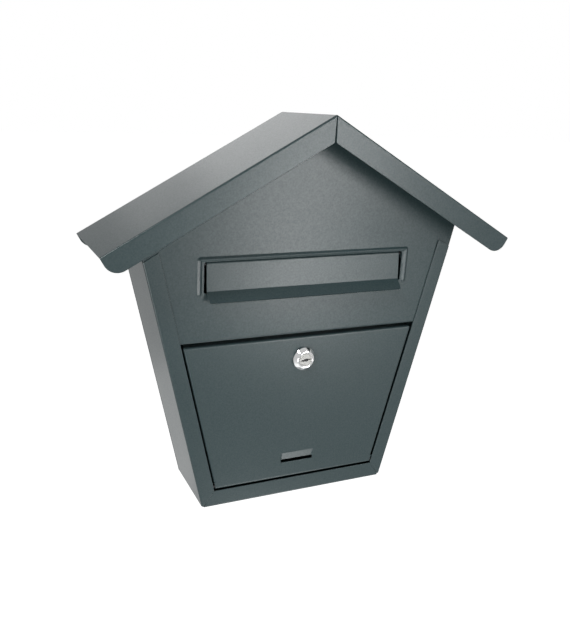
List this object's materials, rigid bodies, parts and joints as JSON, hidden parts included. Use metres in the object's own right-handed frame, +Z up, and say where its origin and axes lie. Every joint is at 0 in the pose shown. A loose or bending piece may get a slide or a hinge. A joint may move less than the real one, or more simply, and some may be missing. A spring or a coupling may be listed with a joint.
{
  "type": "wall mounted mailbox",
  "caption": "Wall-mounted steel letter box shaped like a small house, with a gabled roof, a lifting letter flap, a drop-down front door with a sight louvre and a cam lock",
  "frame": {"origin": "the middle of the four wall holes, on the back panel's face that lies against the wall", "axes": "+X to the right as seen from the front, +Y into the wall, +Z up"},
  "size_m": [0.401, 0.109, 0.372],
  "materials": {
    "powder_coat": "satin powder coat with a fine texture, grey-green anthracite",
    "zinc_steel": "bright zinc-plated steel",
    "lock_chrome": "polished chrome plate with fine turned rings on the face",
    "brass": "stamped plain brass",
    "rubber": "matt black moulded rubber"
  },
  "bodies": {
    "body": {"body_wrap": "powder_coat", "back_panel": "powder_coat", "front_panel": "powder_coat", "roof": "powder_coat", "roof_studs": "zinc_steel", "roof_washers": "zinc_steel", "roof_nuts": "zinc_steel", "flap_brackets": "powder_coat", "flap_rod": "zinc_steel", "door_brackets": "powder_coat", "door_rod": "zinc_steel", "door_buffers": "rubber"},
    "flap": {"letter_flap": "powder_coat"},
    "door": {"door_panel": "powder_coat", "lock_housing": "lock_chrome", "lock_washer": "zinc_steel", "lock_nut": "zinc_steel"},
    "lock_core": {"lock_plug": "lock_chrome", "lock_wafers": "brass", "lock_cam": "zinc_steel", "cam_washer": "zinc_steel", "cam_screw": "zinc_steel"}
  },
  "joints": [
    {"name": "flap_hinge", "type": "hinge", "parent": "body", "child": "flap", "pos_m": [0, -0.07095, 0.0818], "axis": [-1, 0, 0], "range_deg": [0, 85]},
    {"name": "door_hinge", "type": "hinge", "parent": "body", "child": "door", "pos_m": [0, -0.07345, -0.13945], "axis": [1, 0, 0], "range_deg": [0, 110]},
    {"name": "lock_turn", "type": "hinge", "parent": "door", "child": "lock_core", "pos_m": [0, -0.076, -0.0152], "axis": [0, 1, 0], "range_deg": [0, 90]}
  ]
}
